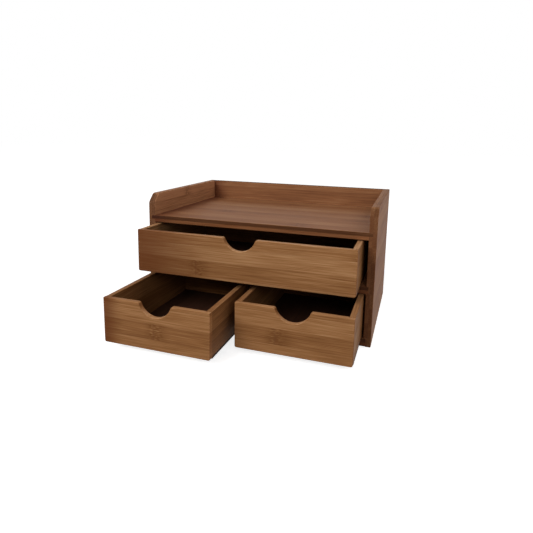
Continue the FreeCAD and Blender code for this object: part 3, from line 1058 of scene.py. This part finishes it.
@dataclass
class Studio:
    """A white floor that keeps a soft shadow, plain soft light and the camera of the photograph."""

    lamps: tuple[Lamp, ...] = LAMPS
    floor_colour: str = "#D8D8D8"
    floor_size: float = 12.0
    floor_drop: float = 0.2 * MM
    # The floor glows less from the middle to shadow_start, and like the background from shadow_end on
    floor_glow: float = 0.8
    shadow_start: float = 0.25
    shadow_end: float = 0.75
    # The camera was solved from the cabinet's corners in the photograph
    frame_px: float = 533.0
    sensor_mm: float = 36.0
    focal_px: float = 461.243
    axis_px: Pair = (258.0, 212.0)
    clip_start: float = 10 * MM
    camera_place: Place = (0.202804, -0.685064, 0.273019)
    camera_yaw: float = 0.3296
    camera_pitch: float = -0.1725
    camera_roll: float = 0.0162

    def camera(self) -> None:
        """Adds the camera."""
        data = bpy.data.cameras.new("photo_camera")
        data.sensor_width = self.sensor_mm
        data.lens = self.focal_px * self.sensor_mm / self.frame_px
        data.shift_x = (self.frame_px / 2 - self.axis_px[0]) / self.frame_px
        data.shift_y = (self.axis_px[1] - self.frame_px / 2) / self.frame_px
        data.clip_start = self.clip_start
        camera = bpy.data.objects.new("photo_camera", data)
        turn = Matrix.Rotation(self.camera_yaw, 4, "Z")
        turn @= Matrix.Rotation(math.pi / 2 + self.camera_pitch, 4, "X")
        turn @= Matrix.Rotation(self.camera_roll, 4, "Z")
        camera.matrix_world = Matrix.Translation(self.camera_place) @ turn
        bpy.context.scene.collection.objects.link(camera)
        bpy.context.scene.camera = camera

    def seen_rays(self, tree: NodeTree) -> Node:
        """Tells rays from the eye, a gloss or a glass from the rays that carry light.

        Args:
            tree: The material's or world's node tree.

        Returns:
            A node that gives one for rays that show the background.
        """
        eye, gloss, glass = (f"Is {kind} Ray" for kind in ("Camera", "Glossy", "Transmission"))
        path = add_node(tree, "LightPath", {}).outputs
        seen = add_node(tree, "Math", {0: path[eye], 1: path[gloss]}, operation="MAXIMUM")
        return add_node(tree, "Math", {0: seen, 1: path[glass]}, operation="MAXIMUM")

    def floor(self) -> None:
        """Adds the floor: matt white, glowing enough to be the white background, darker in the shadow."""
        mesh = bmesh.new()
        bmesh.ops.create_grid(mesh, x_segments=1, y_segments=1, size=self.floor_size / 2)
        bmesh.ops.translate(mesh, vec=Vector((0.0, 0.0, -self.floor_drop)), verts=mesh.verts)
        floor = mesh_object("studio_floor", mesh)
        material = bpy.data.materials.new("matt_white_floor")
        material.use_nodes = True
        tree = material.node_tree
        tree.nodes.clear()
        seen = self.seen_rays(tree)
        matt = add_node(tree, "BsdfDiffuse", {"Color": linear(self.floor_colour)})
        coordinates = add_node(tree, "TexCoord", {})
        away = add_node(tree, "VectorMath", {0: coordinates.outputs["Object"]}, operation="LENGTH").outputs["Value"]
        fade = {0: away, 1: self.shadow_start, 2: self.shadow_end, 3: self.floor_glow, 4: 1.0}
        share = add_node(tree, "Math", {0: seen, 1: add_node(tree, "MapRange", fade)}, operation="MULTIPLY")
        glow = add_node(tree, "Emission", {"Color": linear(WHITE), "Strength": share})
        both = add_node(tree, "AddShader", {0: matt, 1: glow})
        add_node(tree, "OutputMaterial", {"Surface": both})
        floor.data.materials.append(material)

    def world(self) -> None:
        """Sets a white surround that is seen, and leaves the lighting to the lamps."""
        world = bpy.data.worlds.new("studio")
        world.use_nodes = True
        tree = world.node_tree
        tree.nodes.clear()
        background = add_node(tree, "Background", {"Color": linear(WHITE), "Strength": self.seen_rays(tree)})
        add_node(tree, "OutputWorld", {"Surface": background})
        bpy.context.scene.world = world

    def build(self) -> None:
        """Sets up the floor, the surround, the lamps and the camera."""
        self.floor()
        self.world()
        for lamp in self.lamps:
            lamp.hang()
        self.camera()
        bpy.context.scene.view_settings.view_transform = "Standard"


# Bamboo steamed to a dark brown, pressed flat and coated with satin lacquer: a warm brown with hardly any
# gloss, whose outer ply shows as a nearly black line along a cut edge
CABINET_BAMBOO = FlatPressedBamboo(
    name="dark_carbonised_bamboo",
    dark="#70462D",
    middle="#8D5E3D",
    light="#A57A57",
    glue="#5C3926",
    knuckle="#643E2C",
    stain="#5A2C1C",
    end_grain="#3F251A",
    edge_tone_and_highlight=0.3,
    end_shade=0.52,
    roughness=0.55,
    gloss=0.06,
    pore_strength=0.5,
    edge_hue_and_sheen=(0.84, 0.72),
)
# The same bamboo in the right panel: its cut edges are only a shade darker and keep their hue, which paints a sheen
# on its top edge
PANEL_BAMBOO = replace(
    CABINET_BAMBOO,
    name="carbonised_bamboo_painted_edge_sheen",
    edge_tone_and_highlight=0.75,
    end_shade=0.57,
    gloss=0.04,
    edge_hue_and_sheen=(1.0, 1.0),
)
# The left panel's face is made paler and redder, which paints light on its inner face, and its ends darker beside it
PAINTED_LIGHT_PANEL_BAMBOO = replace(
    PANEL_BAMBOO, name="carbonised_bamboo_painted_lighter", light="#BE8660", edge_tone_and_highlight=0.55, end_shade=0.33
)
# Bamboo steamed for a shorter time and coated the same way: honey brown, with rims made paler and greyer than
# the faces as a painted highlight and sheen
DRAWER_BAMBOO = FlatPressedBamboo(
    name="light_carbonised_bamboo",
    dark="#664022",
    middle="#855B37",
    light="#A27953",
    glue="#5F3D23",
    knuckle="#5F3D25",
    stain="#55280F",
    end_grain="#694625",
    edge_tone_and_highlight=1.7,
    end_shade=1.1,
    roughness=0.55,
    gloss=0.045,
    pore_strength=0.2,
    edge_hue_and_sheen=(1.1, 1.3),
)
# Thin bamboo sheet, sealed once, made an even, very dark brown that paints the shade deep in the drawers
BOTTOM_BAMBOO_PAINTED_SHADE = FlatPressedBamboo(
    name="thin_bamboo_sheet_painted_shade",
    dark="#2F1D15",
    middle="#3A241A",
    light="#452C21",
    glue="#2A1B14",
    knuckle="#2A1B14",
    stain="#23110B",
    end_grain="#251711",
    edge_tone_and_highlight=0.9,
    end_shade=0.8,
    roughness=0.6,
    gloss=0.045,
    pore_strength=0.3,
)
PANEL_FINISHES = {Hand.LEFT: PAINTED_LIGHT_PANEL_BAMBOO, Hand.RIGHT: PANEL_BAMBOO}

# Each board's cut, with its knuckles, darker low end and tone where the photograph shows them
CABINET_STOCKS = {
    # The left panel made much lighter: painted light on its inner face
    "left_side_panel": LENGTHWISE(glue_at_mm=9.0, knuckle_at_mm=150.0, tone=0.35, plies=2, lightness=0.45),
    # The right panel made a little darker: painted shade on its outer face, turned from the light
    "right_side_panel": LENGTHWISE(
        ShowSide.HIGH, glue_at_mm=12.0, knuckle_at_mm=95.0, tone=0.6, plies=2, lightness=-0.07
    ),
    "tray_board": ACROSS(ShowSide.HIGH, glue_at_mm=6.0, knuckle_at_mm=215.0, tone=0.15, plies=2, stain_mm=45.0),
    # The shelf and the bottom board made darker: painted shadow of the drawers that stand out over their fronts
    "middle_shelf": ACROSS(ShowSide.HIGH, knuckle_at_mm=120.0, tone=0.8, plies=2, lightness=-0.3),
    "bottom_board": ACROSS(ShowSide.HIGH, knuckle_at_mm=60.0, tone=0.5, plies=2, lightness=-0.5),
    "back_panel": ACROSS(glue_at_mm=13.0, knuckle_at_mm=40.0, tone=0.7, stain_mm=40.0),
    "centre_divider": LENGTHWISE(tone=0.4),
}
TOP_FRONT = ACROSS(glue_at_mm=4.0, knuckle_at_mm=89.0, tone=0.25, stain_mm=130.0, lightness=0.08)
LEFT_FRONT = ACROSS(glue_at_mm=14.0, knuckle_at_mm=72.0, tone=0.1, stain_mm=30.0, lightness=0.02)
RIGHT_FRONT = ACROSS(glue_at_mm=12.5, knuckle_at_mm=53.0, tone=0.33, lightness=-0.05)


def main() -> None:
    """Builds the cabinet, its drawers and the studio."""
    logging.basicConfig(level=logging.INFO, format="%(name)s: %(message)s")
    cabinet = Cabinet(
        body="cabinet",
        slot="cabinet_bamboo",
        finish=CABINET_BAMBOO,
        arris=1 * MM,
        stocks=CABINET_STOCKS,
        panel_finishes=PANEL_FINISHES,
    )
    drawer = partial(Drawer, slot="drawer_bamboo", finish=DRAWER_BAMBOO, arris=1.2 * MM, bottom_finish_painted_shade=BOTTOM_BAMBOO_PAINTED_SHADE)
    assemblies = (
        cabinet,
        drawer("top_drawer", front_stock=TOP_FRONT, tone=0.5),
        # The two small drawers' sides made darker: painted shade in the gap between them and on the right side
        # turned from the main light
        drawer("left_drawer", front_stock=LEFT_FRONT, tone=0.3, side_lightness=-0.3),
        drawer("right_drawer", front_stock=RIGHT_FRONT, tone=0.8, side_lightness=-0.12),
    )
    for assembly in assemblies:
        for board in assembly.build():
            log.info("%s: %d faces", board.name, len(board.data.polygons))
    Studio().build()


if __name__ == "__main__":
    main()
